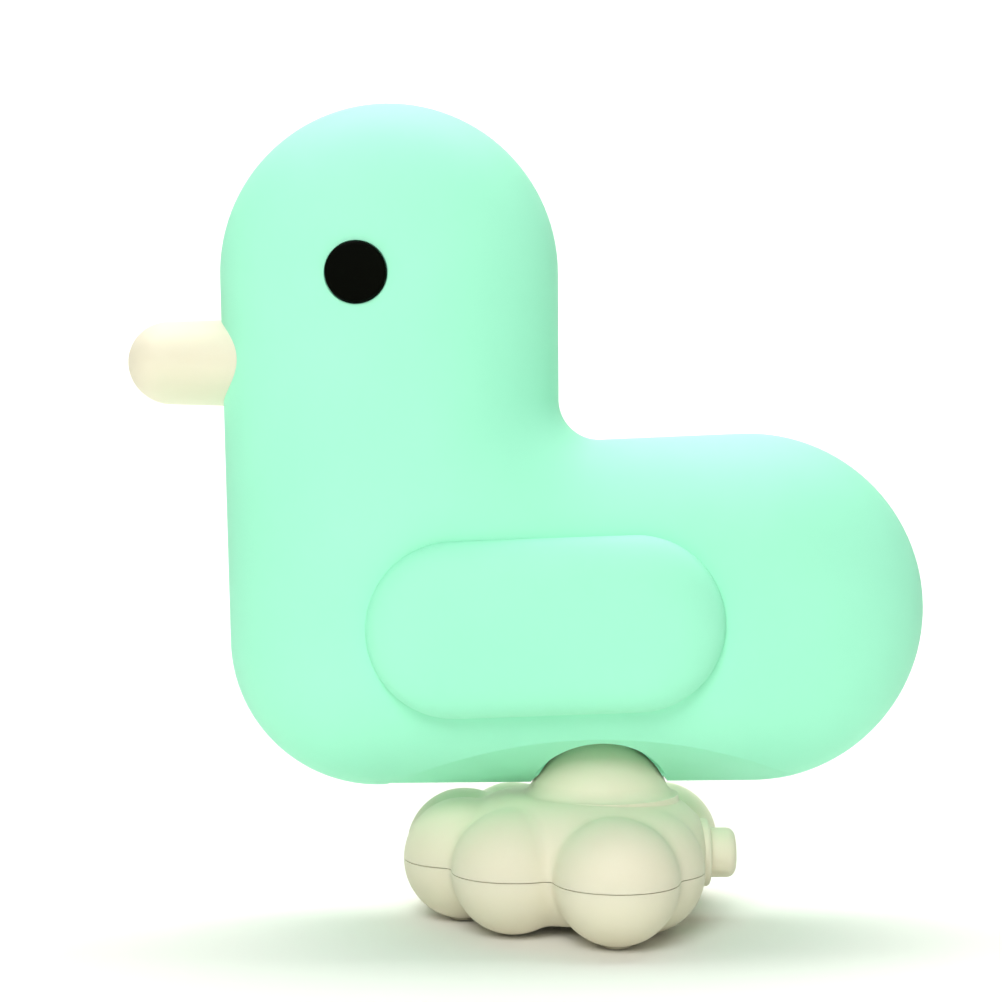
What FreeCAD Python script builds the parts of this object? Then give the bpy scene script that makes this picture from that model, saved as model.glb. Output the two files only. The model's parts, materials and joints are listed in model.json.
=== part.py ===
"""Nodding desk bird: a moulded two-shell bird that rocks on a dome on a lobed, battery-powered base.

Frame: millimetres, +Z up, the beak points along -X, the bird's left and right sides face -Y and +Y.
The origin is under the middle of the whole object, on the surface it stands on.
"""
import FreeCAD, Part
import math
import os

V = FreeCAD.Vector
X_AXIS, Y_AXIS, Z_AXIS = V(1, 0, 0), V(0, 1, 0), V(0, 0, 1)

# Bird shell: the side outline is four arcs (centre x, centre z, radius; a negative radius is concave)
HEAD = (-24.2, 115.6, 30.2)
CHEST = (-26.2, 50.6, 26.3)
TAIL = (40.0, 56.0, 31.0)
NECK = (13.3, 93.1, -7.2)
HALF_WIDTH = 20.5
EDGE_ROUND = 19.0
WALL = 2.0

# Dome that the bird rocks on, the socket that clears it, and the arched recess each side of the keel
PIVOT_X, PIVOT_Z = 13.4, 19.9
DOME_R = 12.8
SOCKET_GAP = 0.45
DECK_Z = 22.6
FLANGE_Z = 19.0
ARCH_TOP_Z, ARCH_R = 34.0, 82.0
KEEL_HALF, KEEL_Z, KEEL_RISE = 1.0, 24.2, 0.65
NOTCH_DEPTH = 4.0
SEAT_Z = 36.2

# Face
EYE_X, EYE_Z, EYE_R, EYE_PROUD = -28.8, 113.6, 5.25, 0.9
BEAK_Z, BEAK_ROOT_R, BEAK_TIP_R, BEAK_TIP_X = 99.7, 7.9, 7.4, -71.0
BEAK_WIDENING = 1.5
BEAK_SHANK_R = 5.0

# Wing pads
WING_X, WING_Z, WING_LONG, WING_TALL, WING_TILT = 3.3, 53.6, 61.0, 30.0, 2.0
WING_PROUD = 5.6

# Base: a cluster of equal spherical lobes, split at their equator
LOBE_R = 10.8
PARTING_Z = LOBE_R
LOBES = [(-11.0, 0.0), (-2.1, -12.6), (15.2, -21.6), (20.5, -12.0),
         (26.0, 18.5), (8.0, 21.6), (-2.0, 18.0), (-11.0, 11.0)]
FOOT_LOBES = [LOBES[0], LOBES[2], LOBES[4], LOBES[5], LOBES[7]]
POSTS = [LOBES[0], LOBES[2], LOBES[5]]
CORE_X, CORE_R, CORE_FLOOR, CORE_ROUND = 10.3, 22.5, 1.2, 10.0
BASE_WALL = 1.8
FOOT_R, FOOT_RECESS_R, FOOT_TOP = 2.4, 2.5, 1.4

# Rear push button
BUTTON_Z, BUTTON_R, BUTTON_END_X = 11.7, 4.4, 37.8
COLLAR_R, COLLAR_BACK_X, COLLAR_END_X = 6.0, 27.0, 33.2
RUNNING_GAP = 0.05

# Drive parts in the base
BOARD_Z, BOARD_T = 8.0, 1.0
COIL_R, COIL_TOP = 6.5, 14.9
MAGNET_R, MAGNET_T = 2.6, 1.1
ARM_T, ARM_W = 4.0, 6.4
AXLE_R, AXLE_HALF = 1.5, 9.0
CELL_R, CELL_T, CELL_Z = 10.0, 3.2, 4.2
DOOR_R, DOOR_T, LUG_REACH, LUG_T = 11.5, 1.8, 12.5, 0.8
DOOR_GAP = 0.1
BOARD_X0, BOARD_X1, BOARD_HALF = 0.0, 25.4, 8.0
SWITCH_X0, SWITCH_X1, SWITCH_HALF, SWITCH_TALL = 22.2, 25.0, 3.2, 5.4
CHIP_X0, CHIP_X1, CHIP_HALF, CHIP_T = 1.5, 6.0, 3.5, 1.3
STEM_X, STEM_R = 24.6, 1.3
BOBBIN_R, BOBBIN_FLANGE_T, COIL_PIN_R = 2.4, 0.6, 1.5

# Dome fittings: flange, cheeks that hold the bushes, and the slot for the arm
FLANGE_REACH, FLANGE_T = 1.0, 2.0
CHEEK_HALF_X, CHEEK_IN, CHEEK_OUT, CHEEK_LOW = 3.6, 5.0, 8.0, 15.2
SLOT_HALF_X, SLOT_HALF_Y, SLOT_RISE = 5.2, 2.6, 6.0
BUSH_R, BUSH_GAP = 2.45, 0.05

# Joints between the shells: bosses, dowels, posts and screws
BOSS_R, BOSS_HOLE_DEPTH = 3.2, 10.0
BOSS_OFFSETS = [(4.0, -12.0), (-4.0, 2.0), (6.0, 6.0)]
DOWEL_R, DOWEL_HALF = 1.45, 7.0
POST_R, SCREW_SEAT_Z = 2.6, 3.5
SCREW_R, SCREW_HEAD_R, SCREW_HEAD_T, SCREW_DEPTH = 0.85, 1.9, 1.4, 4.0
PILOT_R, PILOT_LENGTH, CLEAR_R = 0.9, 5.0, 1.1
SCREW_X, SCREW_Y = 11.0, 6.0
SEAT_HALF_X, SEAT_HALF_Y, SEAT_T = 14.0, 9.0, 2.2
SLUG_FRONT, SLUG_BACK, SLUG_HALF, SLUG_TALL = 9.0, 17.0, 9.0, 14.5
WING_BURIED, WING_RIM, EYE_SUNK = 2.5, 0.6, 0.95

# Longer than anything that is trimmed with it
FAR = 60.0


def box(x0, x1, y0, y1, z0, z1):
    return Part.makeBox(x1 - x0, y1 - y0, z1 - z0, V(x0, y0, z0))


def rod(radius, x, y, z, length, axis):
    return Part.makeCylinder(radius, length, V(x, y, z), axis)


def mirrored(shape):
    return shape.mirror(V(0, 0, 0), Y_AXIS)


def tangent_normal(first, second, inset):
    """Outward angle of the straight line that joins two arcs of the outline."""
    dx, dz = second[0] - first[0], second[1] - first[1]
    drop = (first[2] - inset) - (second[2] - inset)
    return math.atan2(dz, dx) - math.acos(drop / math.hypot(dx, dz))


def outline_face(inset, y):
    """The bird's side outline, set in by a distance, as a face in the plane of the given y."""
    arcs = [HEAD, CHEST, TAIL, NECK]
    count = len(arcs)
    leave = [tangent_normal(arcs[i], arcs[(i + 1) % count], inset) for i in range(count)]

    def on_arc(arc, angle):
        radius = arc[2] - inset
        return V(arc[0] + radius * math.cos(angle), y, arc[1] + radius * math.sin(angle))

    edges = []
    for i, arc in enumerate(arcs):
        start, end = leave[i - 1], leave[i]
        if arc[2] > 0:
            middle = start + ((end - start) % (2 * math.pi)) / 2
        else:
            middle = start - ((start - end) % (2 * math.pi)) / 2
        after = arcs[(i + 1) % count]
        edges.append(Part.Arc(on_arc(arc, start), on_arc(arc, middle), on_arc(arc, end)).toShape())
        edges.append(Part.LineSegment(on_arc(arc, end), on_arc(after, end)).toShape())
    return Part.Face(Part.Wire(edges))


def pillow(inset):
    """The whole bird as a slab with fully rounded edges, set in by a distance."""
    half = HALF_WIDTH - inset
    slab = outline_face(inset, -half).extrude(V(0, 2 * half, 0))
    rims = [e for e in slab.Edges if abs(abs(e.CenterOfMass.y) - half) < 1e-6]
    return slab.makeFillet(EDGE_ROUND - inset, rims)


def belly_recess(grow):
    """Arched recess under the left side, whose roof slopes up and out from the keel; open round the dome."""
    arch = rod(ARCH_R + grow, PIVOT_X, -40, ARCH_TOP_Z - ARCH_R, 40 - KEEL_HALF + grow, Y_AXIS)
    inner, outer, low = grow - KEEL_HALF, -40, 0
    foot = KEEL_Z + grow
    corners = [V(-90, inner, low), V(-90, inner, foot), V(-90, outer, foot + KEEL_RISE * (inner - outer)),
               V(-90, outer, low), V(-90, inner, low)]
    wedge = Part.Face(Part.makePolygon(corners)).extrude(V(180, 0, 0))
    notch = rod(DOME_R + SOCKET_GAP + grow, PIVOT_X, -40, PIVOT_Z, 40 - NOTCH_DEPTH + grow, Y_AXIS)
    return arch.common(wedge).fuse(notch)


def socket(grow):
    return Part.makeSphere(DOME_R + SOCKET_GAP + grow, V(PIVOT_X, 0, PIVOT_Z))


def left_half(shape):
    return shape.common(box(-90, 90, -60, 0, -5, 160))


def boss_places():
    return [(arc[0] + dx, arc[1] + dz) for arc, (dx, dz) in zip((HEAD, CHEST, TAIL), BOSS_OFFSETS)]


def bird_outside():
    """Left half of the bird's outer form, before it is hollowed."""
    return left_half(pillow(0)).cut(belly_recess(0)).cut(socket(0))


def left_shell():
    cavity = left_half(pillow(WALL)).cut(belly_recess(WALL)).cut(socket(WALL))
    cavity = cavity.cut(box(PIVOT_X - 18, PIVOT_X + 18, -12, 0, 20, SEAT_Z))
    cavity = cavity.cut(box(TAIL[0] - 7, TAIL[0] + 9, -8, 0, 20, SEAT_Z))
    shell = bird_outside().cut(cavity)
    for x, z in boss_places():
        boss = rod(BOSS_R, x, -HALF_WIDTH + WALL / 2, z, HALF_WIDTH - WALL / 2, Y_AXIS)
        shell = shell.fuse(boss).cut(
            rod(DOWEL_R + RUNNING_GAP, x, -BOSS_HOLE_DEPTH, z, BOSS_HOLE_DEPTH, Y_AXIS))
    slot = box(PIVOT_X - ARM_W / 2 - 0.1, PIVOT_X + ARM_W / 2 + 0.1, -ARM_T / 2 - 0.1, 0, 20, 40)
    shell = shell.cut(slot)
    shell = shell.cut(rod(EYE_R + 0.15, EYE_X, -HALF_WIDTH - 1, EYE_Z, 2.0, Y_AXIS))
    shell = shell.cut(rod(BEAK_SHANK_R + 0.1, -62, 0, BEAK_Z, 24, X_AXIS))
    for x in (PIVOT_X - SCREW_X, PIVOT_X + SCREW_X):
        shell = shell.cut(rod(PILOT_R, x, -SCREW_Y, SEAT_Z + 0.5 - PILOT_LENGTH, PILOT_LENGTH, Z_AXIS))
    return shell.removeSplitter()


def wing():
    """Left wing pad: a stadium with rounded outer edge, shaped to the shell behind it."""
    radius = WING_TALL / 2
    reach = WING_LONG / 2 - radius
    y = -HALF_WIDTH + WING_BURIED
    top = Part.LineSegment(V(reach, y, radius), V(-reach, y, radius)).toShape()
    front = Part.Arc(V(-reach, y, radius), V(-reach - radius, y, 0), V(-reach, y, -radius)).toShape()
    bottom = Part.LineSegment(V(-reach, y, -radius), V(reach, y, -radius)).toShape()
    back = Part.Arc(V(reach, y, -radius), V(reach + radius, y, 0), V(reach, y, radius)).toShape()
    pad = Part.Face(Part.Wire([top, front, bottom, back])).extrude(V(0, -WING_BURIED - WING_PROUD, 0))
    outer = -HALF_WIDTH - WING_PROUD
    rim = [e for e in pad.Edges if abs(e.CenterOfMass.y - outer) < 1e-6]
    pad = pad.makeFillet(WING_PROUD - WING_RIM, rim)
    pad.rotate(V(0, 0, 0), Y_AXIS, -WING_TILT)
    pad.translate(V(WING_X, 0, WING_Z))
    return pad.cut(pillow(0))


def eye():
    """Left eye: a shallow domed disc set in its recess."""
    disc = rod(EYE_R, EYE_X, -HALF_WIDTH - EYE_PROUD, EYE_Z, EYE_PROUD + EYE_SUNK, Y_AXIS)
    dome_r = 22.0
    dome = Part.makeSphere(dome_r, V(EYE_X, -HALF_WIDTH - EYE_PROUD + dome_r, EYE_Z))
    return disc.common(dome)


def beak():
    """Wide rounded bill, shaped to the face behind it, with a round shank that plugs into the shells."""
    tip_centre = BEAK_TIP_X + BEAK_TIP_R
    root = -44.0
    cone = Part.makeCone(BEAK_TIP_R, BEAK_ROOT_R, root - tip_centre, V(tip_centre, 0, BEAK_Z), X_AXIS)
    horn = cone.fuse(Part.makeSphere(BEAK_TIP_R, V(tip_centre, 0, BEAK_Z))).removeSplitter()
    widen = FreeCAD.Matrix()
    widen.scale(1, BEAK_WIDENING, 1)
    horn = horn.transformGeometry(widen).cut(pillow(0))
    shank = rod(BEAK_SHANK_R, -60, 0, BEAK_Z, 11, X_AXIS)
    return horn.fuse(shank).removeSplitter()


def shell_dowels():
    return [rod(DOWEL_R, x, -DOWEL_HALF, z, 2 * DOWEL_HALF, Y_AXIS) for x, z in boss_places()]


def pendulum_arm():
    """Arm that carries the bird: a stem on the axle, a seat inside the shells and a magnet cup."""
    stem = box(PIVOT_X - ARM_W / 2, PIVOT_X + ARM_W / 2, -ARM_T / 2, ARM_T / 2, PIVOT_Z, SEAT_Z + 1)
    seat = box(PIVOT_X - SEAT_HALF_X, PIVOT_X + SEAT_HALF_X, -SEAT_HALF_Y, SEAT_HALF_Y,
               SEAT_Z + 0.02, SEAT_Z + SEAT_T)
    hub = rod(ARM_W / 2, PIVOT_X, -ARM_T / 2, PIVOT_Z, ARM_T, Y_AXIS)
    arm = stem.fuse([seat, hub]).removeSplitter()
    arm = arm.cut(rod(AXLE_R + RUNNING_GAP, PIVOT_X, -ARM_T, PIVOT_Z, 2 * ARM_T, Y_AXIS))
    for x in (PIVOT_X - SCREW_X, PIVOT_X + SCREW_X):
        for y in (-SCREW_Y, SCREW_Y):
            arm = arm.cut(rod(CLEAR_R, x, y, SEAT_Z - 1, SEAT_T + 2, Z_AXIS))
    return arm


def arm_screws():
    """Four screws that hold the arm's seat to the shells."""
    screws = []
    for x in (PIVOT_X - SCREW_X, PIVOT_X + SCREW_X):
        for y in (-SCREW_Y, SCREW_Y):
            shank = rod(SCREW_R, x, y, SEAT_Z - SCREW_DEPTH, SCREW_DEPTH + SEAT_T + RUNNING_GAP, Z_AXIS)
            head = rod(SCREW_HEAD_R, x, y, SEAT_Z + SEAT_T + RUNNING_GAP, SCREW_HEAD_T, Z_AXIS)
            screws.append(shank.fuse(head).removeSplitter())
    return screws


def drive_magnet():
    top = PIVOT_Z - ARM_W / 2
    disc = rod(MAGNET_R, PIVOT_X, 0, top - MAGNET_T + 0.5, MAGNET_T, Z_AXIS)
    return disc.cut(rod(ARM_W / 2, PIVOT_X, -ARM_T, PIVOT_Z, 2 * ARM_T, Y_AXIS))


def counterweight():
    """Steel slug on a rib under the tail; it balances the head about the axle."""
    slug = box(TAIL[0] - SLUG_FRONT, TAIL[0] + SLUG_BACK, -SLUG_HALF, SLUG_HALF, SEAT_Z, SEAT_Z + SLUG_TALL)
    return slug.makeFillet(2, slug.Edges)


def base_form(inset):
    """The lobed cluster and its core, set in by a distance."""
    height = DECK_Z - CORE_FLOOR - 2 * inset
    core = rod(CORE_R - inset, CORE_X, 0, CORE_FLOOR + inset, height, Z_AXIS)
    core = core.makeFillet(CORE_ROUND - inset, [core.Edges[0], core.Edges[2]])
    lobes = [Part.makeSphere(LOBE_R - inset, V(x, y, PARTING_Z)) for x, y in LOBES]
    return core.fuse(lobes).removeSplitter()


def base_shell_raw():
    shell = base_form(0).cut(base_form(BASE_WALL))
    collar_seat = rod(COLLAR_R + 1.2, COLLAR_BACK_X - 1.5, 0, BUTTON_Z, 4.2, X_AXIS)
    shell = shell.fuse(collar_seat)
    return shell.cut(rod(COLLAR_R + 0.05, COLLAR_BACK_X - 4, 0, BUTTON_Z, 20, X_AXIS))


def upper_base_shell(raw):
    shell = raw.common(box(-FAR, FAR, -FAR, FAR, PARTING_Z, FAR))
    for x, y in POSTS:
        post = rod(POST_R, x, y, PARTING_Z, LOBE_R - BASE_WALL + 0.4, Z_AXIS)
        shell = shell.fuse(post).cut(rod(PILOT_R, x, y, PARTING_Z, PILOT_LENGTH, Z_AXIS))
    return shell.cut(Part.makeSphere(DOME_R + 0.03, V(PIVOT_X, 0, PIVOT_Z))).removeSplitter()


def lower_base_shell(raw):
    shell = raw.common(box(-FAR, FAR, -FAR, FAR, -5, PARTING_Z))
    for x, y in POSTS:
        shell = shell.fuse(rod(POST_R, x, y, 1.6, PARTING_Z - 1.6, Z_AXIS))
    for x, y in POSTS:
        shell = shell.cut(rod(CLEAR_R, x, y, -1, 20, Z_AXIS))
        shell = shell.cut(rod(SCREW_HEAD_R + 0.1, x, y, -1, 1 + SCREW_SEAT_Z, Z_AXIS))
    ring = rod(LUG_REACH + 1.7, CORE_X, 0, CORE_FLOOR + 0.4, BOARD_Z - CORE_FLOOR - 0.4, Z_AXIS)
    shell = shell.fuse(ring).cut(rod(DOOR_R + DOOR_GAP, CORE_X, 0, -1, 12, Z_AXIS))
    lug_low = CORE_FLOOR + DOOR_T
    shell = shell.cut(rod(LUG_REACH + 0.3, CORE_X, 0, lug_low - 0.2, LUG_T + 0.4, Z_AXIS))
    for x, y in FOOT_LOBES:
        shell = shell.cut(rod(FOOT_RECESS_R, x, y, -1, 1 + FOOT_TOP, Z_AXIS))
    return shell.removeSplitter()


def rubber_feet():
    return [rod(FOOT_R, x, y, 0, FOOT_TOP, Z_AXIS) for x, y in FOOT_LOBES]


def base_screws():
    screws = []
    for x, y in POSTS:
        shank = rod(SCREW_R, x, y, SCREW_SEAT_Z, PARTING_Z + 0.5, Z_AXIS)
        head = rod(SCREW_HEAD_R, x, y, SCREW_SEAT_Z - SCREW_HEAD_T, SCREW_HEAD_T, Z_AXIS)
        screws.append(shank.fuse(head).removeSplitter())
    return screws


def pivot_dome():
    """Hollow dome on the deck, with a slot for the arm and cheeks that hold the bushes."""
    ball = Part.makeSphere(DOME_R, V(PIVOT_X, 0, PIVOT_Z))
    hollow = Part.makeSphere(DOME_R - BASE_WALL, V(PIVOT_X, 0, PIVOT_Z))
    flange = rod(DOME_R + FLANGE_REACH, PIVOT_X, 0, FLANGE_Z, FLANGE_T, Z_AXIS)
    flange = flange.common(base_form(BASE_WALL + RUNNING_GAP))
    above = box(-FAR, FAR, -FAR, FAR, FLANGE_Z, FAR)
    dome = ball.common(above).fuse(flange).cut(hollow)
    for side in (-1, 1):
        ends = sorted((side * CHEEK_IN, side * CHEEK_OUT))
        cheek = box(PIVOT_X - CHEEK_HALF_X, PIVOT_X + CHEEK_HALF_X, ends[0], ends[1], CHEEK_LOW, FAR)
        dome = dome.fuse(cheek.common(ball))
    slot = box(PIVOT_X - SLOT_HALF_X, PIVOT_X + SLOT_HALF_X, -SLOT_HALF_Y, SLOT_HALF_Y,
               PIVOT_Z + SLOT_RISE, FAR)
    dome = dome.cut(slot).cut(rod(BUSH_R + BUSH_GAP, PIVOT_X, -AXLE_HALF, PIVOT_Z, 2 * AXLE_HALF, Y_AXIS))
    return dome.removeSplitter()


def axle_bushes():
    bushes = []
    for start in (-CHEEK_OUT, CHEEK_IN):
        tube = rod(BUSH_R, PIVOT_X, start, PIVOT_Z, CHEEK_OUT - CHEEK_IN, Y_AXIS)
        bushes.append(tube.cut(rod(AXLE_R + 0.01, PIVOT_X, start - 1, PIVOT_Z, 5, Y_AXIS)))
    return bushes


def pivot_axle():
    return rod(AXLE_R, PIVOT_X, -AXLE_HALF, PIVOT_Z, 2 * AXLE_HALF, Y_AXIS)


def centring_spring():
    """Torsion spring round the axle, beside the arm: close coils as overlapping rings."""
    wire, coil_r = 0.35, 2.2
    turns = [Part.makeTorus(coil_r, wire, V(PIVOT_X, 2.75 + 0.6 * i, PIVOT_Z), Y_AXIS) for i in range(3)]
    return turns[0].fuse(turns[1:]).removeSplitter()


def coil_bobbin():
    low = BOARD_Z + BOARD_T
    core = rod(BOBBIN_R, PIVOT_X, 0, low, COIL_TOP - low, Z_AXIS)
    flange = rod(COIL_R, PIVOT_X, 0, low, BOBBIN_FLANGE_T, Z_AXIS)
    top = rod(COIL_R, PIVOT_X, 0, COIL_TOP - BOBBIN_FLANGE_T, BOBBIN_FLANGE_T, Z_AXIS)
    bore = rod(COIL_PIN_R + RUNNING_GAP, PIVOT_X, 0, low, COIL_TOP, Z_AXIS)
    return core.fuse([flange, top]).cut(bore).removeSplitter()


def coil_winding():
    low = BOARD_Z + BOARD_T + BOBBIN_FLANGE_T
    ring = rod(COIL_R - 0.5, PIVOT_X, 0, low, COIL_TOP - BOBBIN_FLANGE_T - low, Z_AXIS)
    return ring.cut(rod(BOBBIN_R, PIVOT_X, 0, low - 1, COIL_TOP, Z_AXIS))


def coil_core():
    return rod(COIL_PIN_R, PIVOT_X, 0, BOARD_Z + BOARD_T, COIL_TOP - BOARD_Z - BOARD_T, Z_AXIS)


def circuit_board():
    return box(BOARD_X0, BOARD_X1, -BOARD_HALF, BOARD_HALF, BOARD_Z, BOARD_Z + BOARD_T)


def switch_body():
    low = BOARD_Z + BOARD_T
    block = box(SWITCH_X0, SWITCH_X1, -SWITCH_HALF, SWITCH_HALF, low, low + SWITCH_TALL)
    return block.cut(rod(STEM_R + 0.2, SWITCH_X0 + 1, 0, BUTTON_Z, 4, X_AXIS))


def control_chip():
    low = BOARD_Z + BOARD_T
    return box(CHIP_X0, CHIP_X1, -CHIP_HALF, CHIP_HALF, low, low + CHIP_T)


def button_collar():
    """Bezel ring that guides the button; its flange is held inside the two base shells."""
    ring = rod(COLLAR_R, COLLAR_BACK_X, 0, BUTTON_Z, COLLAR_END_X - COLLAR_BACK_X, X_AXIS)
    ring = ring.makeFillet(0.8, [e for e in ring.Edges if abs(e.CenterOfMass.x - COLLAR_END_X) < 1e-6
                                 and e.Length > 10])
    ring = ring.cut(rod(BUTTON_R + RUNNING_GAP, COLLAR_BACK_X - 1, 0, BUTTON_Z, 12, X_AXIS))
    return ring


def push_button():
    cap = rod(BUTTON_R, COLLAR_BACK_X + 2, 0, BUTTON_Z, BUTTON_END_X - COLLAR_BACK_X - 2, X_AXIS)
    rim = [e for e in cap.Edges if abs(e.CenterOfMass.x - BUTTON_END_X) < 1e-6 and e.Length > 10]
    cap = cap.makeFillet(1.6, rim)
    stem = rod(STEM_R, STEM_X, 0, BUTTON_Z, 5, X_AXIS)
    return cap.fuse(stem).removeSplitter()


def coin_cells():
    return [rod(CELL_R, CORE_X, 0, CELL_Z, CELL_T, Z_AXIS)]


def contact_plate():
    return box(CORE_X - 3, CORE_X + 3, -8, 8, CELL_Z + CELL_T, BOARD_Z)


def battery_door():
    """Round door that turns in its ring: a coin slot outside and two bayonet lugs inside."""
    door = rod(DOOR_R, CORE_X, 0, CORE_FLOOR, DOOR_T, Z_AXIS)
    lug_low = CORE_FLOOR + DOOR_T
    bar = box(CORE_X - 3, CORE_X + 3, -LUG_REACH, LUG_REACH, lug_low, lug_low + LUG_T)
    lugs = bar.common(rod(LUG_REACH, CORE_X, 0, lug_low, LUG_T, Z_AXIS)).cut(
        rod(CELL_R + 0.3, CORE_X, 0, lug_low, LUG_T, Z_AXIS))
    slot = box(CORE_X - 5, CORE_X + 5, -0.8, 0.8, CORE_FLOOR - 1, CORE_FLOOR + 0.9)
    return door.fuse(lugs).cut(slot).removeSplitter()


def main():
    os.makedirs("parts", exist_ok=True)
    raw = base_shell_raw()
    left = left_shell()
    parts = {
        "left_body_shell": [left],
        "right_body_shell": [mirrored(left)],
        "left_wing": [wing()],
        "right_wing": [mirrored(wing())],
        "left_eye": [eye()],
        "right_eye": [mirrored(eye())],
        "beak": [beak()],
        "shell_dowels": shell_dowels(),
        "pendulum_arm": [pendulum_arm()],
        "arm_screws": arm_screws(),
        "drive_magnet": [drive_magnet()],
        "counterweight": [counterweight()],
        "upper_base_shell": [upper_base_shell(raw)],
        "lower_base_shell": [lower_base_shell(raw)],
        "rubber_feet": rubber_feet(),
        "base_screws": base_screws(),
        "pivot_dome": [pivot_dome()],
        "axle_bushes": axle_bushes(),
        "pivot_axle": [pivot_axle()],
        "centring_spring": [centring_spring()],
        "coil_bobbin": [coil_bobbin()],
        "coil_winding": [coil_winding()],
        "coil_core": [coil_core()],
        "circuit_board": [circuit_board()],
        "control_chip": [control_chip()],
        "switch_body": [switch_body()],
        "button_collar": [button_collar()],
        "push_button": [push_button()],
        "coin_cell": coin_cells(),
        "contact_plate": [contact_plate()],
        "battery_door": [battery_door()],
    }
    for name, solids in parts.items():
        shape = solids[0] if len(solids) == 1 else Part.makeCompound(solids)
        print(name, len(shape.Solids), shape.isValid(), round(shape.Volume))
        shape.exportStep("parts/" + name + ".step")


main()
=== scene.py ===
"""Looks of the nodding desk bird: smooth moulded shells, lobed base and procedural plastics."""
import bpy
import bmesh
import json
import math
from mathutils import Matrix, Vector


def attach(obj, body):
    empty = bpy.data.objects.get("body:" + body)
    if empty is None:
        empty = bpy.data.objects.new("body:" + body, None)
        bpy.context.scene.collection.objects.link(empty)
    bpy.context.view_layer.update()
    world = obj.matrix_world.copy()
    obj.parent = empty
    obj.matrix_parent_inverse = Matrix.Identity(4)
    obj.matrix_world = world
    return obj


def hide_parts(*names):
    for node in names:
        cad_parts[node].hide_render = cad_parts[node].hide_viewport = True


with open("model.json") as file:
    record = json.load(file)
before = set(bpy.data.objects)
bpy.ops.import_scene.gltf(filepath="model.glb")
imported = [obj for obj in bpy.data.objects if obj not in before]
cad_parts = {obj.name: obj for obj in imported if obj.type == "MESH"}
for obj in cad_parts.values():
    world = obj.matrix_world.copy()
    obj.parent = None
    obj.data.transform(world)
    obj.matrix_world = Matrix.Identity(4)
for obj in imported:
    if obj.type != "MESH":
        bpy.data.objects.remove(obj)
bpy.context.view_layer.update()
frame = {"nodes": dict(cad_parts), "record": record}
MM = 0.001

# Driving sizes, in millimetres, shared with the CAD frame (centre x, centre z, radius)
HEAD = (-24.2, 115.6, 30.2)
CHEST = (-26.2, 50.6, 26.3)
TAIL = (40.0, 56.0, 31.0)
NECK = (13.3, 93.1, -7.2)
HALF_WIDTH = 20.5
SEAM_FLAT = 1.5
PUFF_INSET, PUFF_POWER = 25.9, 2.05
SEAM_BEVEL = 0.12
PIVOT_X, PIVOT_Z = 13.4, 19.9
DOME_R, SOCKET_R, NOTCH_DEPTH = 12.8, 13.25, 4.0
DOME_FLARE = 2.2
ARCH_TOP_Z, ARCH_R = 34.0, 82.0
KEEL_HALF, KEEL_Z, KEEL_RISE = 1.0, 24.2, 0.65
EYE_X, EYE_Z, EYE_R = -28.8, 113.6, 5.25
WING_X, WING_Z, WING_LONG, WING_TALL, WING_TILT = 3.3, 53.6, 61.0, 30.0, 2.0
WING_PROUD = 5.6
BEAK_Z, BEAK_ROOT_R, BEAK_TIP_R, BEAK_TIP_X = 99.7, 7.9, 7.4, -71.0
BEAK_WIDENING = 1.5
LOBE_R, PARTING_Z, DECK_Z = 10.8, 10.8, 22.6
LOBES = [(-11.0, 0.0), (-2.1, -12.6), (15.2, -21.6), (20.5, -12.0),
         (26.0, 18.5), (8.0, 21.6), (-2.0, 18.0), (-11.0, 11.0)]
CORE_X, CORE_R, CORE_FLOOR, CORE_ROUND = 10.3, 22.5, 1.2, 10.0
PARTING_GAP = 0.14
VOXEL_SIZE, SMOOTH_FACTOR, SMOOTH_ROUNDS = 0.45, 0.6, 40
BUTTON_Z = 11.7
COLLAR_SEAT_R, COLLAR_SEAT_X, COLLAR_SEAT_LENGTH = 6.9, 22.0, 9.6
COLLAR_HOLE_R, COLLAR_HOLE_LENGTH = 6.05, 22.0
DOOR_HOLE_R, DOOR_HOLE_LOW, DOOR_HOLE_DEPTH = 11.6, -1.0, 4.9
DOOR_GROOVE_R, DOOR_GROOVE_LOW, DOOR_GROOVE_TALL = 12.8, 2.8, 1.2
ARM_SLOT_HALF_X, ARM_SLOT_HALF_Y, ARM_SLOT_RISE, ARM_SLOT_TOP = 5.2, 2.6, 6, 40
SIDE_REACH, WEDGE_REACH, WEDGE_HALF_LENGTH = 40, 45, 90
WING_EDGE, WING_CROWN_INSETS = 9.0, (10.5, 12.0, 13.4, 14.5)
BEAK_ROOT_X = -46.0
EYE_CROWN, EYE_SEAT_GAP, EYE_SEAT_DEPTH = 0.9, 0.18, 2.0


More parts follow.
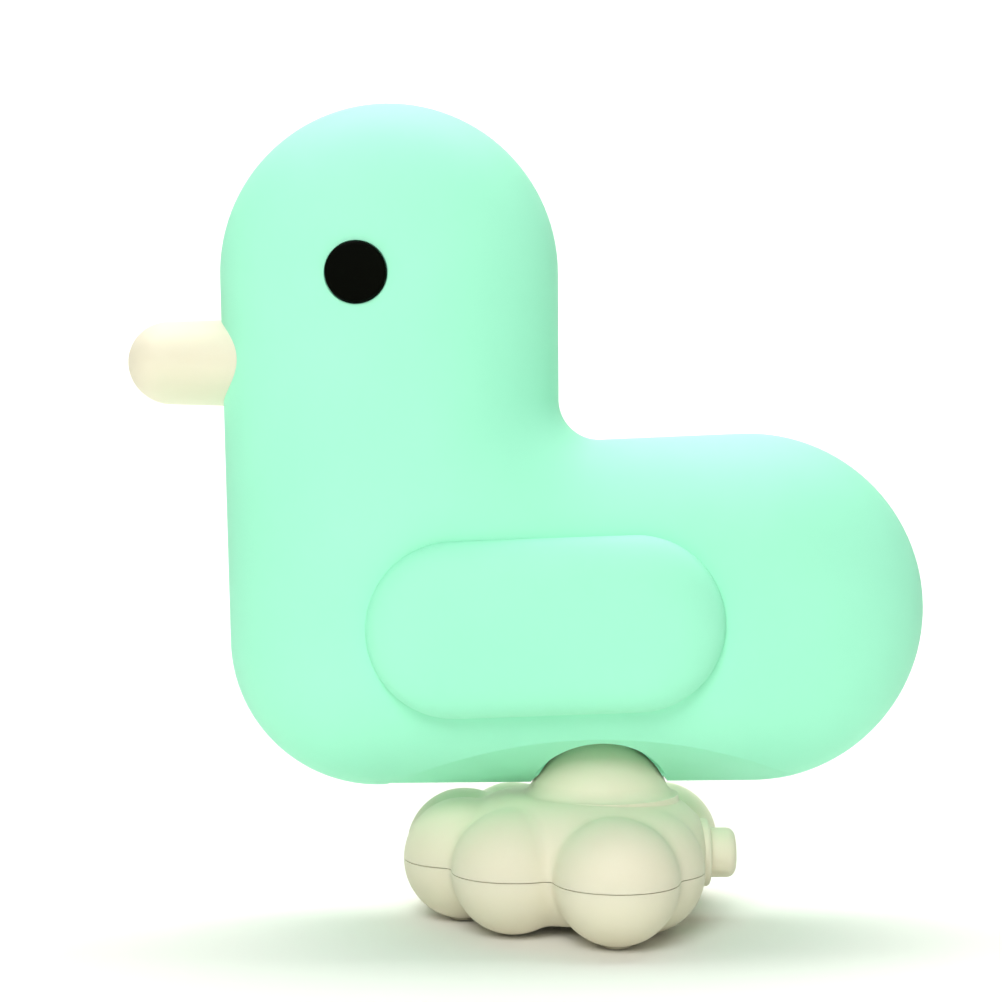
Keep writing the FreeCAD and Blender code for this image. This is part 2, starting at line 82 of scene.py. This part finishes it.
# ---------------------------------------------------------------- materials
def plastic(name, base, shade, rough, grain=0.004, grain_scale=900.0, coat=0.0, glow=0.0, specular=0.5):
    """Moulded plastic: faint tone drift, fine spark-eroded grain and uneven roughness."""
    material = bpy.data.materials.new(name)
    material.use_nodes = True
    tree = material.node_tree
    shader = tree.nodes["Principled BSDF"]
    shader.inputs["Specular IOR Level"].default_value = specular
    shader.inputs["Coat Weight"].default_value = coat
    shader.inputs["Coat Roughness"].default_value = 0.25
    shader.inputs["Subsurface Weight"].default_value = glow
    shader.inputs["Subsurface Scale"].default_value = 0.004
    shader.inputs["Subsurface Radius"].default_value = (1.0, 0.9, 0.8)
    coords = tree.nodes.new("ShaderNodeTexCoord")
    drift = tree.nodes.new("ShaderNodeTexNoise")
    drift.inputs["Scale"].default_value = 28.0
    drift.inputs["Detail"].default_value = 3.0
    ramp = tree.nodes.new("ShaderNodeValToRGB")
    ramp.color_ramp.elements[0].position = 0.3
    ramp.color_ramp.elements[1].position = 0.7
    ramp.color_ramp.elements[0].color = (*shade, 1)
    ramp.color_ramp.elements[1].color = (*base, 1)
    fine = tree.nodes.new("ShaderNodeTexNoise")
    fine.inputs["Scale"].default_value = grain_scale
    fine.inputs["Detail"].default_value = 4.0
    spread = tree.nodes.new("ShaderNodeMapRange")
    spread.inputs["To Min"].default_value = rough - 0.06
    spread.inputs["To Max"].default_value = rough + 0.08
    bump = tree.nodes.new("ShaderNodeBump")
    bump.inputs["Strength"].default_value = 0.12
    bump.inputs["Distance"].default_value = grain * MM * 10
    link = tree.links.new
    link(coords.outputs["Object"], drift.inputs["Vector"])
    link(coords.outputs["Object"], fine.inputs["Vector"])
    link(drift.outputs["Fac"], ramp.inputs["Fac"])
    link(ramp.outputs["Color"], shader.inputs["Base Color"])
    link(fine.outputs["Fac"], spread.inputs["Value"])
    link(spread.outputs["Result"], shader.inputs["Roughness"])
    link(fine.outputs["Fac"], bump.inputs["Height"])
    link(bump.outputs["Normal"], shader.inputs["Normal"])
    return material


def metal(name, base, shade, rough, stretch):
    """Machined or drawn metal with fine directional marks."""
    material = plastic(name, base, shade, rough, grain=0.01, grain_scale=1400.0)
    tree = material.node_tree
    tree.nodes["Principled BSDF"].inputs["Metallic"].default_value = 1.0
    mapping = tree.nodes.new("ShaderNodeMapping")
    mapping.inputs["Scale"].default_value = stretch
    coords = [n for n in tree.nodes if n.type == "TEX_COORD"][0]
    for node in [n for n in tree.nodes if n.type == "TEX_NOISE"]:
        tree.links.new(mapping.outputs["Vector"], node.inputs["Vector"])
    tree.links.new(coords.outputs["Object"], mapping.inputs["Vector"])
    return material


MINT = plastic("mint_plastic", (0.40, 0.98, 0.70), (0.375, 0.95, 0.67), 0.58, glow=0.06, specular=0.3)
CREAM = plastic("cream_plastic", (0.86, 0.81, 0.645), (0.825, 0.775, 0.60), 0.55, glow=0.15, specular=0.3)
BLACK = plastic("black_plastic", (0.0012, 0.0016, 0.0008), (0.0025, 0.003, 0.0015), 0.42, specular=0.02)
WHITE = plastic("white_plastic", (0.82, 0.82, 0.80), (0.76, 0.76, 0.74), 0.5)
RUBBER = plastic("rubber", (0.62, 0.58, 0.46), (0.55, 0.52, 0.41), 0.8, grain=0.02)
BOARD = plastic("board", (0.02, 0.16, 0.06), (0.03, 0.22, 0.08), 0.35, coat=0.4)
STEEL = metal("steel", (0.62, 0.62, 0.63), (0.5, 0.5, 0.52), 0.32, (1, 6, 1))
BRASS = metal("brass", (0.80, 0.60, 0.27), (0.7, 0.5, 0.2), 0.3, (1, 6, 1))
COPPER = metal("copper_wire", (0.75, 0.33, 0.15), (0.6, 0.24, 0.1), 0.35, (1, 1, 14))
SLOT_MATERIALS = {"mint_plastic": MINT, "cream_plastic": CREAM, "black_plastic": BLACK,
                  "white_plastic": WHITE, "rubber": RUBBER, "board": BOARD,
                  "steel": STEEL, "brass": BRASS, "copper_wire": COPPER}


def finish_cad_nodes():
    """Gives every CAD node that stays the material of its slot."""
    slots = {row["node"]: row["material_slot"] for row in frame["record"]["subparts"]}
    for name, node in frame["nodes"].items():
        for index in range(len(node.material_slots)):
            node.material_slots[index].material = SLOT_MATERIALS[slots[name]]


# ---------------------------------------------------------------- mesh helpers
def new_object(name, mesh):
    piece = bpy.data.objects.new(name, mesh)
    bpy.context.scene.collection.objects.link(piece)
    return piece


def mesh_from(name, verts, faces):
    """Closed mesh from vertices in millimetres."""
    mesh = bpy.data.meshes.new(name)
    mesh.from_pydata([[c * MM for c in v] for v in verts], [], faces)
    grid = bmesh.new()
    grid.from_mesh(mesh)
    bmesh.ops.recalc_face_normals(grid, faces=grid.faces)
    grid.to_mesh(mesh)
    grid.free()
    return new_object(name, mesh)


def skin_rings(rings):
    """Joins rings of equal length with quads and closes both ends."""
    count = len(rings[0])
    verts = [v for ring in rings for v in ring]
    faces = [tuple(range(count)), tuple(range(len(verts) - count, len(verts)))]
    for i in range(len(rings) - 1):
        for j in range(count):
            k = (j + 1) % count
            a, b = i * count, (i + 1) * count
            faces.append((a + j, a + k, b + k, b + j))
    return verts, faces


def apply_modifiers(piece):
    graph = bpy.context.evaluated_depsgraph_get()
    mesh = bpy.data.meshes.new_from_object(piece.evaluated_get(graph))
    piece.modifiers.clear()
    piece.data = mesh


def cut(piece, *tools):
    """Takes the tools' volume out of the piece and removes the tools."""
    for tool in tools:
        boolean = piece.modifiers.new("cut", "BOOLEAN")
        boolean.object = tool
        boolean.operation = "DIFFERENCE"
        boolean.solver = "EXACT"
    bpy.context.view_layer.update()
    apply_modifiers(piece)
    for tool in tools:
        bpy.data.objects.remove(tool)


def soften(piece, degrees=32.0):
    for face in piece.data.polygons:
        face.use_smooth = True
    piece.data.set_sharp_from_angle(angle=math.radians(degrees))


def cylinder(radius, start, length, axis, segments=128):
    """Closed cylinder from a start point along x, y or z, in millimetres."""
    tool = bmesh.new()
    bmesh.ops.create_cone(tool, cap_ends=True, segments=segments, radius1=radius * MM,
                          radius2=radius * MM, depth=length * MM)
    turn = {"x": ("Y", 90), "y": ("X", -90), "z": ("Z", 0)}[axis]
    spin = Matrix.Rotation(math.radians(turn[1]), 4, turn[0])
    shift = Matrix.Translation(Vector(start) * MM) @ spin @ Matrix.Translation((0, 0, length * MM / 2))
    bmesh.ops.transform(tool, matrix=shift, verts=tool.verts)
    mesh = bpy.data.meshes.new("tool")
    tool.to_mesh(mesh)
    tool.free()
    return new_object("tool", mesh)


def sphere(radius, centre, segments=96):
    tool = bmesh.new()
    bmesh.ops.create_uvsphere(tool, u_segments=segments, v_segments=segments // 2, radius=radius * MM)
    bmesh.ops.translate(tool, vec=Vector(centre) * MM, verts=tool.verts)
    mesh = bpy.data.meshes.new("tool")
    tool.to_mesh(mesh)
    tool.free()
    return new_object("tool", mesh)


# ---------------------------------------------------------------- bird
def tangent_normal(first, second):
    dx, dz = second[0] - first[0], second[1] - first[1]
    return math.atan2(dz, dx) - math.acos((first[2] - second[2]) / math.hypot(dx, dz))


def outline(inset, arc_steps=56, line_steps=24):
    """The bird's side outline, set in by a distance: (x, z) points, always the same number."""
    arcs = [HEAD, CHEST, TAIL, NECK]
    leave = [tangent_normal(arcs[i], arcs[(i + 1) % 4]) for i in range(4)]
    points = []
    for i, (x, z, radius) in enumerate(arcs):
        start, end = leave[i - 1], leave[i]
        sweep = (end - start) % (2 * math.pi) if radius > 0 else -((start - end) % (2 * math.pi))
        for step in range(arc_steps):
            angle = start + sweep * step / arc_steps
            reach = radius - inset
            points.append((x + reach * math.cos(angle), z + reach * math.sin(angle)))
        after = arcs[(i + 1) % 4]
        here = (x + (radius - inset) * math.cos(end), z + (radius - inset) * math.sin(end))
        next_reach = after[2] - inset
        there = (after[0] + next_reach * math.cos(end), after[1] + next_reach * math.sin(end))
        for step in range(line_steps):
            t = step / line_steps
            points.append((here[0] + (there[0] - here[0]) * t, here[1] + (there[1] - here[1]) * t))
    return points


def puff(inset):
    """Half thickness of the bird at a distance in from its outline."""
    fall = max(0.0, 1 - inset / PUFF_INSET) ** PUFF_POWER
    return SEAM_FLAT + (HALF_WIDTH - SEAM_FLAT) * (1 - fall) ** (1 / PUFF_POWER)


def belly_recess(side):
    """Arched recess under one side, whose roof slopes up and out from the keel."""
    low = -SIDE_REACH if side < 0 else KEEL_HALF
    arch = cylinder(ARCH_R, (PIVOT_X, low, ARCH_TOP_Z - ARCH_R), SIDE_REACH - KEEL_HALF, "y", segments=480)
    wedge_top = KEEL_Z + KEEL_RISE * (WEDGE_REACH - KEEL_HALF)
    inner = KEEL_HALF - 0.01
    section = [(inner, 0), (inner, KEEL_Z), (WEDGE_REACH, wedge_top), (WEDGE_REACH, 0)]
    wedge = mesh_from("tool", *skin_rings([[(x, y * side, z) for y, z in section]
                                           for x in (-WEDGE_HALF_LENGTH, WEDGE_HALF_LENGTH)]))
    both = arch.modifiers.new("both", "BOOLEAN")
    both.object = wedge
    both.operation = "INTERSECT"
    both.solver = "EXACT"
    bpy.context.view_layer.update()
    apply_modifiers(arch)
    bpy.data.objects.remove(wedge)
    return arch


def body_half(side):
    """One moulded half: rings of the side outline, each further in and further out from the seam."""
    rings = [[(x, 0.02 * side, z) for x, z in outline(SEAM_BEVEL)]]
    rings.append([(x, side * SEAM_BEVEL, z) for x, z in outline(0)])
    steps = 40
    for i in range(steps + 1):
        inset = PUFF_INSET * (1 - math.cos(math.pi / 2 * i / steps))
        rings.append([(x, side * puff(inset), z) for x, z in outline(inset)])
    name = "body_left" if side < 0 else "body_right"
    piece = mesh_from(name, *skin_rings(rings))
    notch_low = -SIDE_REACH if side < 0 else NOTCH_DEPTH
    notch = cylinder(SOCKET_R, (PIVOT_X, notch_low, PIVOT_Z), SIDE_REACH - NOTCH_DEPTH, "y", segments=192)
    seat_start = (EYE_X, HALF_WIDTH * side - EYE_SEAT_DEPTH / 2, EYE_Z)
    eye_seat = cylinder(EYE_R + EYE_SEAT_GAP, seat_start, EYE_SEAT_DEPTH, "y", segments=96)
    socket = sphere(SOCKET_R, (PIVOT_X, 0, PIVOT_Z), segments=192)
    cut(piece, belly_recess(side), notch, socket, eye_seat)
    soften(piece)
    piece.data.materials.clear()
    piece.data.materials.append(MINT)
    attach(piece, "bird")
    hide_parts("left_body_shell" if side < 0 else "right_body_shell")


def wing(side):
    """Stadium pad with a soft rolled edge and a slightly crowned face."""
    tall = WING_TALL / 2
    reach = WING_LONG / 2 - tall
    tilt = math.radians(WING_TILT)

    def ring(inset, y):
        points = []
        for half, centre in ((0, reach), (1, -reach)):
            for step in range(49):
                angle = math.pi * (half + step / 48) - math.pi / 2
                px = centre + (tall - inset) * math.cos(angle)
                pz = (tall - inset) * math.sin(angle)
                x = px * math.cos(tilt) - pz * math.sin(tilt) + WING_X
                z = px * math.sin(tilt) + pz * math.cos(tilt) + WING_Z
                points.append((x, y * side, z))
        return points

    rings = [ring(1.6, HALF_WIDTH - 3.5), ring(0.0, HALF_WIDTH - 2.0)]
    steps = 22
    for i in range(steps + 1):
        turn = math.pi / 2 * i / steps
        inset = WING_EDGE * (1 - math.cos(turn))
        rings.append(ring(inset, HALF_WIDTH - 0.2 + (WING_PROUD - 0.1) * math.sin(turn)))
    for inset in WING_CROWN_INSETS:
        rings.append(ring(inset, HALF_WIDTH - 0.2 + WING_PROUD - 0.1 + 0.02 * (inset - WING_EDGE) / 2))
    piece = mesh_from("wing_left" if side < 0 else "wing_right", *skin_rings(rings))
    soften(piece, 60)
    piece.data.materials.append(MINT)
    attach(piece, "bird")
    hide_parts("left_wing" if side < 0 else "right_wing")


def turned(profile, centre, axis, segments=96):
    """Solid of revolution about x or y: profile is (along, radius) pairs in millimetres."""
    rings = []
    for along, radius in profile:
        ring = []
        for k in range(segments):
            angle = 2 * math.pi * k / segments
            u, v = radius * math.cos(angle), radius * math.sin(angle)
            if axis == "x":
                ring.append((centre[0] + along, centre[1] + u, centre[2] + v))
            else:
                ring.append((centre[0] + u, centre[1] + along, centre[2] + v))
        rings.append(ring)
    return skin_rings(rings)


def beak():
    """Round-ended bill, widened sideways."""
    tip = BEAK_TIP_X + BEAK_TIP_R
    profile = []
    for i in range(1, 33):
        angle = math.pi / 2 * i / 32
        profile.append((-BEAK_TIP_R * math.cos(angle), BEAK_TIP_R * math.sin(angle)))
    root = BEAK_ROOT_X - tip
    for i in range(1, 13):
        t = i / 12
        profile.append((root * t, BEAK_TIP_R + (BEAK_ROOT_R - BEAK_TIP_R) * t))
    verts, faces = turned(profile, (tip, 0, BEAK_Z), "x", 128)
    piece = mesh_from("beak_horn", [(x, y * BEAK_WIDENING, z) for x, y, z in verts], faces)
    soften(piece)
    piece.data.materials.append(CREAM)
    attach(piece, "bird")
    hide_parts("beak")


def eye(side):
    """Shallow button eye with a rolled edge and a flat crown."""
    profile = [(-0.9, EYE_R - 0.3), (-0.7, EYE_R)]
    for i in range(13):
        turn = math.pi / 2 * i / 12
        profile.append((0.25 + (EYE_CROWN - 0.3) * math.sin(turn), (EYE_R - 0.5) + 0.5 * math.cos(turn)))
    for i in range(1, 12):
        height = EYE_CROWN - 0.05 + 0.05 * math.sin(math.pi / 2 * i / 12)
        profile.append((height, (EYE_R - 0.5) * (1 - i / 12)))
    profile = [(along * side, radius) for along, radius in profile]
    piece = mesh_from("eye_left" if side < 0 else "eye_right",
                      *turned(profile, (EYE_X, HALF_WIDTH * side, EYE_Z), "y"))
    soften(piece, 40)
    piece.data.materials.append(BLACK)
    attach(piece, "bird")
    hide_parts("left_eye" if side < 0 else "right_eye")


# ---------------------------------------------------------------- base
def base_shells():
    """The lobed cluster as one softened skin, parted at the lobes' equator."""
    tools = [sphere(LOBE_R, (x, y, PARTING_Z), 64) for x, y in LOBES]
    rings = []
    for corner, start in ((CORE_FLOOR + CORE_ROUND, -90), (DECK_Z - CORE_ROUND, 0)):
        for i in range(13):
            turn = math.radians(start + 90 * i / 12)
            reach = CORE_R - CORE_ROUND + CORE_ROUND * math.cos(turn)
            height = corner + CORE_ROUND * math.sin(turn)
            rings.append([(CORE_X + reach * math.cos(2 * math.pi * k / 96),
                           reach * math.sin(2 * math.pi * k / 96), height) for k in range(96)])
    tools.append(mesh_from("tool", *skin_rings(rings)))
    tools.append(cylinder(COLLAR_SEAT_R, (COLLAR_SEAT_X, 0, BUTTON_Z), COLLAR_SEAT_LENGTH, "x", segments=64))
    joined = bmesh.new()
    for tool in tools:
        joined.from_mesh(tool.data)
        bpy.data.objects.remove(tool)
    mesh = bpy.data.meshes.new("base_skin")
    joined.to_mesh(mesh)
    joined.free()
    skin = new_object("base_skin", mesh)
    remesh = skin.modifiers.new("remesh", "REMESH")
    remesh.mode = "VOXEL"
    remesh.voxel_size = VOXEL_SIZE * MM
    smooth = skin.modifiers.new("smooth", "SMOOTH")
    smooth.factor = SMOOTH_FACTOR
    smooth.iterations = SMOOTH_ROUNDS
    bpy.context.view_layer.update()
    apply_modifiers(skin)
    cut(skin, cylinder(COLLAR_HOLE_R, (COLLAR_SEAT_X, 0, BUTTON_Z), COLLAR_HOLE_LENGTH, "x", segments=96),
        cylinder(DOOR_HOLE_R, (CORE_X, 0, DOOR_HOLE_LOW), DOOR_HOLE_DEPTH, "z", segments=96),
        cylinder(DOOR_GROOVE_R, (CORE_X, 0, DOOR_GROOVE_LOW), DOOR_GROOVE_TALL, "z", segments=96))
    halves = (("base_top", True, "upper_base_shell"), ("base_bottom", False, "lower_base_shell"))
    for name, keep_up, node in halves:
        half = bmesh.new()
        half.from_mesh(skin.data)
        level = PARTING_Z + (PARTING_GAP / 2 if keep_up else -PARTING_GAP / 2)
        geometry = half.verts[:] + half.edges[:] + half.faces[:]
        done = bmesh.ops.bisect_plane(half, geom=geometry, dist=1e-7, plane_co=(0, 0, level * MM),
                                      plane_no=(0, 0, 1), clear_outer=not keep_up, clear_inner=keep_up)
        rim = [e for e in done["geom_cut"] if isinstance(e, bmesh.types.BMEdge)]
        bmesh.ops.holes_fill(half, edges=rim, sides=0)
        mesh = bpy.data.meshes.new(name)
        half.to_mesh(mesh)
        half.free()
        piece = new_object(name, mesh)
        soften(piece, 40)
        piece.data.materials.clear()
        piece.data.materials.append(CREAM)
        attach(piece, "base")
        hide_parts(node)
    bpy.data.objects.remove(skin)


def dome():
    """Dome that flares softly into the deck, with a slot for the pendulum arm."""
    def ring(height, extra=0.0):
        reach = math.sqrt(DOME_R ** 2 - (height - PIVOT_Z) ** 2) + extra
        turns = [2 * math.pi * k / 128 for k in range(128)]
        return [(PIVOT_X + reach * math.cos(t), reach * math.sin(t), height) for t in turns]

    rings = [ring(DECK_Z - 2.5, 0.75 * DOME_FLARE)]
    for i in range(16):
        rise = DOME_FLARE * i / 16
        extra = 0.75 * (DOME_FLARE - math.sqrt(DOME_FLARE ** 2 - (DOME_FLARE - rise) ** 2))
        rings.append(ring(DECK_Z - 0.1 + rise, extra))
    low = math.asin((DECK_Z - 0.1 + DOME_FLARE - PIVOT_Z) / DOME_R)
    for i in range(56):
        turn = low + (math.pi / 2 - low) * i / 56
        rings.append(ring(PIVOT_Z + DOME_R * math.sin(turn)))
    piece = mesh_from("dome", *skin_rings(rings))
    low_z = PIVOT_Z + ARM_SLOT_RISE
    front, back = PIVOT_X - ARM_SLOT_HALF_X, PIVOT_X + ARM_SLOT_HALF_X
    section = [(front, low_z), (back, low_z), (back, ARM_SLOT_TOP), (front, ARM_SLOT_TOP)]
    slot = mesh_from("tool", *skin_rings([[(x, y, z) for x, z in section]
                                          for y in (-ARM_SLOT_HALF_Y, ARM_SLOT_HALF_Y)]))
    cut(piece, slot)
    soften(piece, 35)
    piece.data.materials.clear()
    piece.data.materials.append(CREAM)
    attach(piece, "base")
    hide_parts("pivot_dome")


# ---------------------------------------------------------------- stage, light and camera
def stage():
    """Pale floor that curves up into a backdrop far behind the object."""
    half, back, radius, steps = 4.0, 1.6, 0.8, 24
    profile = [(-3.0, -0.0002), (back, -0.0002)]
    for i in range(1, steps + 1):
        turn = math.pi / 2 * i / steps
        profile.append((back + radius * math.sin(turn), radius * (1 - math.cos(turn)) - 0.0002))
    profile.append((back + radius, 3.0))
    verts = [(x, y, z) for y, z in profile for x in (-half, half)]
    faces = [(2 * i, 2 * i + 1, 2 * i + 3, 2 * i + 2) for i in range(len(profile) - 1)]
    mesh = bpy.data.meshes.new("floor")
    mesh.from_pydata(verts, [], faces)
    floor = new_object("floor", mesh)
    for face in mesh.polygons:
        face.use_smooth = True
    material = bpy.data.materials.new("floor")
    material.use_nodes = True
    shader = material.node_tree.nodes["Principled BSDF"]
    shader.inputs["Base Color"].default_value = (0.90, 0.90, 0.86, 1)
    shader.inputs["Roughness"].default_value = 0.9
    mesh.materials.append(material)


def area_light(name, place, target, size, power):
    data = bpy.data.lights.new(name, "AREA")
    data.size = size
    data.energy = power
    lamp = new_object(name, data)
    lamp.location = place
    lamp.rotation_euler = (Vector(target) - Vector(place)).to_track_quat("-Z", "Y").to_euler()


def lights():
    middle = (0, 0, 0.07)
    area_light("key", (-0.18, -0.75, 0.62), middle, 0.45, 5.0)
    area_light("fill", (0.2, -0.95, 0.20), middle, 0.5, 0.7)
    area_light("top", (0.05, 0.10, 0.9), middle, 0.8, 0.7)
    area_light("backdrop", (0, 0.7, 1.9), (0, 2.3, 0.5), 2.0, 70.0)
    world = bpy.data.worlds.new("studio")
    world.use_nodes = True
    world.node_tree.nodes["Background"].inputs["Color"].default_value = (1.0, 1.0, 0.82, 1)
    world.node_tree.nodes["Background"].inputs["Strength"].default_value = 0.15
    bpy.context.scene.world = world


def camera():
    """Level camera in front of the bird's left side."""
    view_width, distance, sensor = 180.36, 333.0, 36.0
    data = bpy.data.cameras.new("camera")
    data.sensor_width = sensor
    data.lens = sensor * distance / view_width
    data.clip_start = 0.01
    seen = new_object("camera", data)
    seen.location = (-4.23 * MM, -distance * MM, 74.9 * MM)
    seen.rotation_euler = (math.radians(90), 0, 0)
    bpy.context.scene.camera = seen


finish_cad_nodes()
for side in (-1, 1):
    body_half(side)
    wing(side)
    eye(side)
beak()
base_shells()
dome()
stage()
lights()
camera()
bpy.context.scene.view_settings.view_transform = "Standard"
